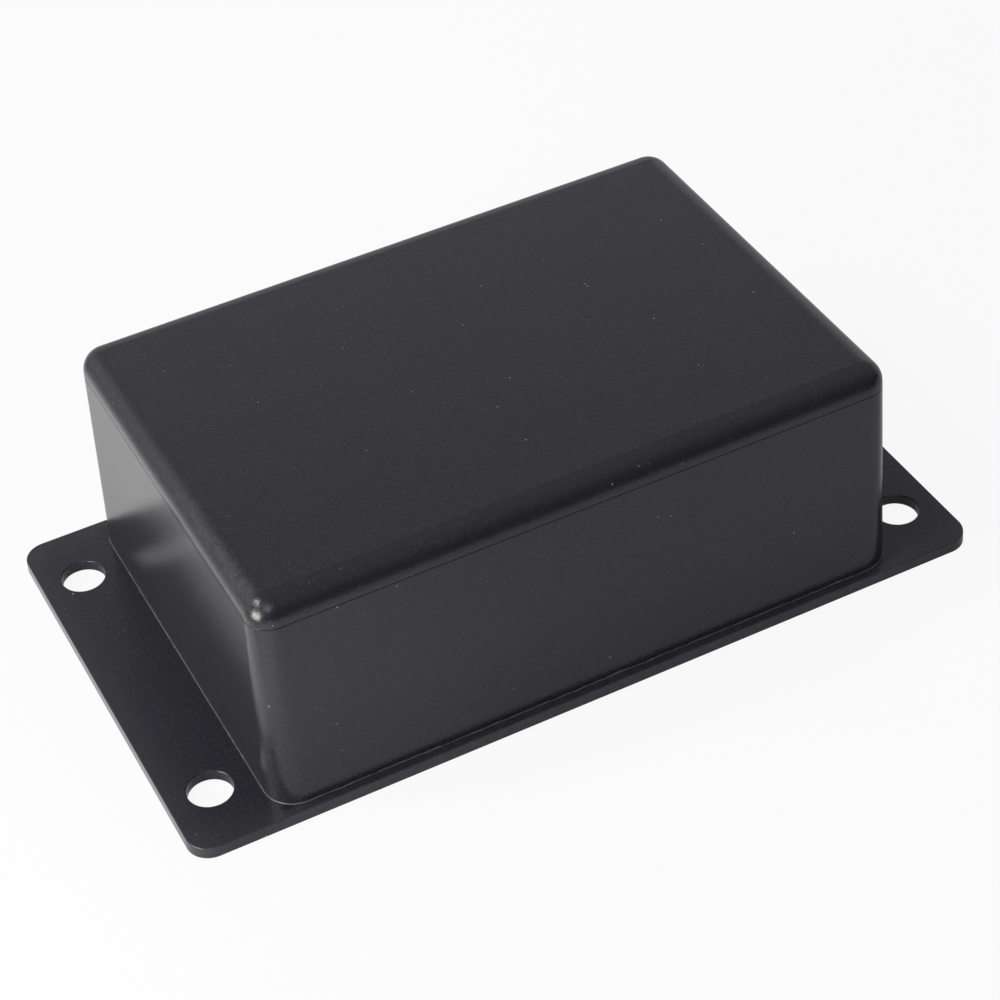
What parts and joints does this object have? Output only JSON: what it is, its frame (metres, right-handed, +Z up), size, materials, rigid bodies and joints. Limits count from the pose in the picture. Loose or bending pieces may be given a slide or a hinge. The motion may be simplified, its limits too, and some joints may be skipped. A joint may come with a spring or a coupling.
{
  "type": "flanged plastic project box",
  "caption": "Deep rectangular moulded box on a flat flanged cover, with ears for fixing it to a wall or panel and corner screws from beneath.",
  "frame": {"origin": "middle of the cover's underside, which is the bottom of the whole box", "axes": "+X along the box from ear to ear, +Y across it, +Z up from the cover to the closed face"},
  "size_m": [0.1094, 0.0618, 0.0329],
  "materials": {
    "box_plastic": "black ABS, fine satin mould texture",
    "cover_plastic": "black ABS, fine satin mould texture",
    "screw_steel": "bright zinc plate"
  },
  "bodies": {
    "root": {"box_body": "box_plastic", "base_cover": "cover_plastic", "screw_front_left": "screw_steel", "screw_front_right": "screw_steel", "screw_rear_left": "screw_steel", "screw_rear_right": "screw_steel"}
  },
  "joints": []
}
